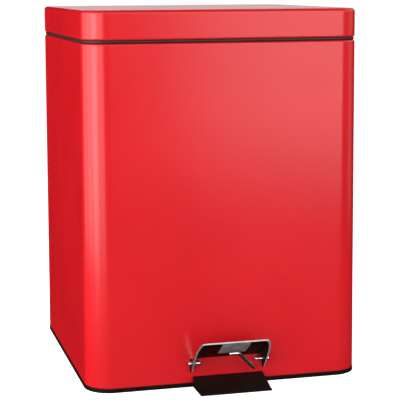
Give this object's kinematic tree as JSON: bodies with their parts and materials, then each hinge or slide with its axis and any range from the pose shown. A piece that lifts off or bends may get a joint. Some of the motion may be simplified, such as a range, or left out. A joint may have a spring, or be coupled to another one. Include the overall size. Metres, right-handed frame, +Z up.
{
  "type": "step-on oily waste can",
  "caption": "Square red enamelled steel can with rounded corners, a gasketed self-closing lid, a raised floor, a lift-out pail and a chrome foot pedal that opens the lid through a rod and link.",
  "frame": {"origin": "centre of the underside, on the floor", "axes": "+Z up, +X to the right seen from the front, -Y towards the pedal at the front"},
  "size_m": [0.3092, 0.3758, 0.4074],
  "materials": {
    "red_enamel": "glossy baked enamel",
    "black_moulding": "satin black moulding",
    "gasket_rubber": "matt black rubber",
    "galvanised_sheet": "galvanised",
    "zinc_plate": "zinc plated",
    "chrome_plate": "bright chrome plate",
    "black_nylon": "moulded nylon"
  },
  "bodies": {
    "can": {"base_tray": "black_moulding", "base_screws": "zinc_plate", "body_shell": "red_enamel", "rim_gasket": "gasket_rubber", "floor_pan": "red_enamel", "liner_pail": "galvanised_sheet", "body_hinge_bracket": "zinc_plate", "body_hinge_rivets": "zinc_plate", "hinge_pin": "zinc_plate", "hinge_pin_caps": "zinc_plate", "pull_link_guides": "zinc_plate", "guide_rivets": "zinc_plate", "crank_front_bush": "black_nylon", "crank_rear_bush": "black_nylon", "crank_saddle": "zinc_plate", "saddle_rivets": "zinc_plate", "pedal_hinge_wire": "chrome_plate", "hinge_wire_clamp": "zinc_plate", "hinge_wire_caps": "chrome_plate", "step_wedge": "black_moulding", "wedge_screws": "zinc_plate"},
    "lid": {"lid_shell": "red_enamel", "lid_stiffener": "red_enamel", "lid_hinge_bracket": "zinc_plate", "lid_hinge_rivets": "zinc_plate", "lever_pin": "zinc_plate", "lever_pin_clips": "zinc_plate"},
    "pedal": {"pedal_plate": "chrome_plate", "pedal_liner": "black_moulding", "pedal_rub_plate": "zinc_plate"},
    "crank": {"crank_rod": "chrome_plate", "crank_collars": "zinc_plate", "crank_pin_clip": "zinc_plate"},
    "link": {"pull_link": "zinc_plate"}
  },
  "joints": [
    {"name": "lid_open", "type": "hinge", "parent": "can", "child": "lid", "pos_m": [0, 0.162, 0.372], "axis": [-1, 0, 0], "range_deg": [0, 72]},
    {"name": "pedal_press", "type": "hinge", "parent": "can", "child": "pedal", "pos_m": [0, -0.16156, 0.0275], "axis": [1, 0, 0], "range_deg": [0, 50.01]},
    {"name": "crank_turn", "type": "hinge", "parent": "can", "child": "crank", "pos_m": [0.028, 0, 0.0185], "axis": [0, -1, 0], "range_deg": [0, 32.01]},
    {"name": "link_pull", "type": "slide", "parent": "can", "child": "link", "axis": [0, 0, -1], "range_m": [0, 0.01572]}
  ],
  "couplings": [
    {"joint": "pedal_press", "follows": "lid_open", "ratio": 0.69444},
    {"joint": "crank_turn", "follows": "lid_open", "ratio": 0.44444},
    {"joint": "link_pull", "follows": "lid_open", "m_per_rad": 0.012503}
  ]
}
